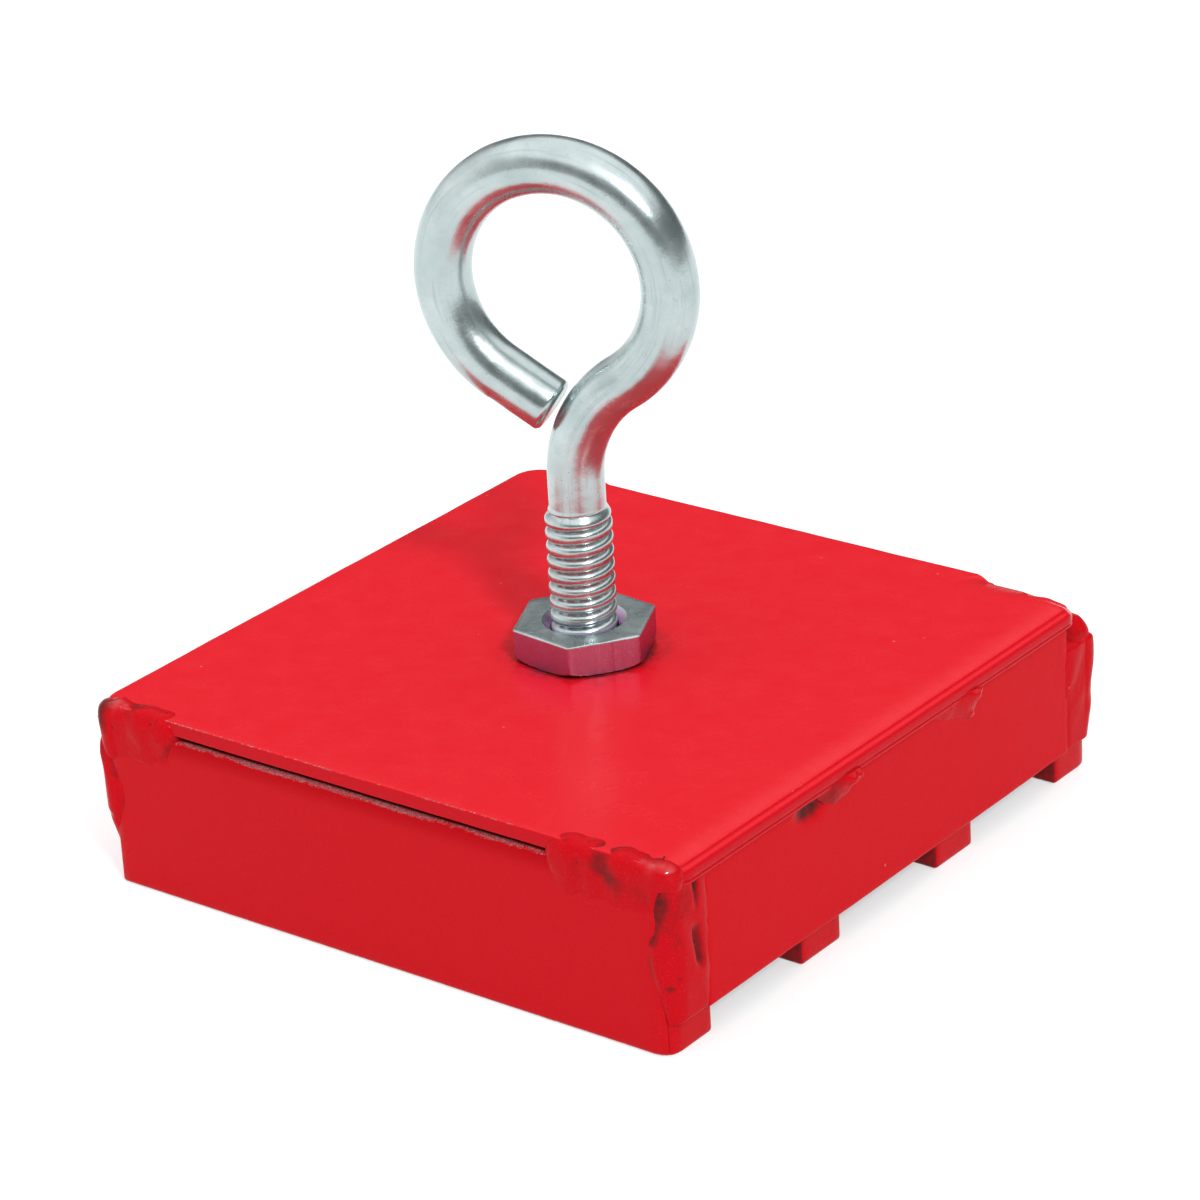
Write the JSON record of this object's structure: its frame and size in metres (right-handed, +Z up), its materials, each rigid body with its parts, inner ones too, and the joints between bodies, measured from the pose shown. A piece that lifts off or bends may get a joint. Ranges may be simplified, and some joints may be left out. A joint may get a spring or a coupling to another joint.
{
  "type": "lifting magnet",
  "caption": "Square block magnet with painted steel pole plates round ferrite blocks, a welded sheet cover with bent-down sides and an open wire eyebolt locked by a jam nut.",
  "frame": {"origin": "centre of the working face, the flat underside of the four pole plates, at the middle of the block's plan, weld beads included", "axes": "+Z up from the working face towards the eye; +X along the front pole plate, left to right; +Y from the front plate to the back plate"},
  "size_m": [0.0514, 0.0534, 0.0526],
  "materials": {
    "cover_paint": "glossy red powder coat over sheet steel",
    "case_paint": "glossy red powder coat over thin sheet steel",
    "pole_paint": "red powder coat over mild steel plate",
    "weld_paint": "red powder coat over lumpy weld beads",
    "ferrite": "matt charcoal sintered ferrite",
    "plain_steel": "dull steel nut",
    "zinc_wire": "bright zinc plate over bent steel wire",
    "zinc_nut": "bright zinc plate over a cold-formed steel nut"
  },
  "bodies": {
    "magnet_block": {"top_cover": "cover_paint", "side_plate_left": "case_paint", "side_plate_right": "case_paint", "pole_plate_1": "pole_paint", "pole_plate_2": "pole_paint", "pole_plate_3": "pole_paint", "pole_plate_4": "pole_paint", "ferrite_row1_left": "ferrite", "ferrite_row1_right": "ferrite", "ferrite_row2_left": "ferrite", "ferrite_row2_right": "ferrite", "ferrite_row3_left": "ferrite", "ferrite_row3_right": "ferrite", "corner_weld_front_left": "weld_paint", "corner_weld_front_right": "weld_paint", "corner_weld_back_right": "weld_paint", "corner_weld_back_left": "weld_paint", "upright_weld_front_left": "weld_paint", "upright_weld_front_right": "weld_paint", "upright_weld_back_right": "weld_paint", "upright_weld_back_left": "weld_paint", "side_tack_left_1": "weld_paint", "side_tack_left_2": "weld_paint", "side_tack_right_1": "weld_paint", "side_tack_right_2": "weld_paint", "captive_nut": "plain_steel"},
    "eyebolt": {"eyebolt": "zinc_wire"},
    "jam_nut": {"jam_nut": "zinc_nut"}
  },
  "joints": [
    {"name": "eyebolt_turn", "type": "hinge", "parent": "magnet_block", "child": "eyebolt", "pos_m": [-0.0005, -0.00125, 0.01415], "axis": [0, 0, 1], "range_deg": [-180, 180]},
    {"name": "jam_nut_travel", "type": "slide", "parent": "eyebolt", "child": "jam_nut", "axis": [0, 0, 1], "range_m": [0, 0.0078]}
  ]
}
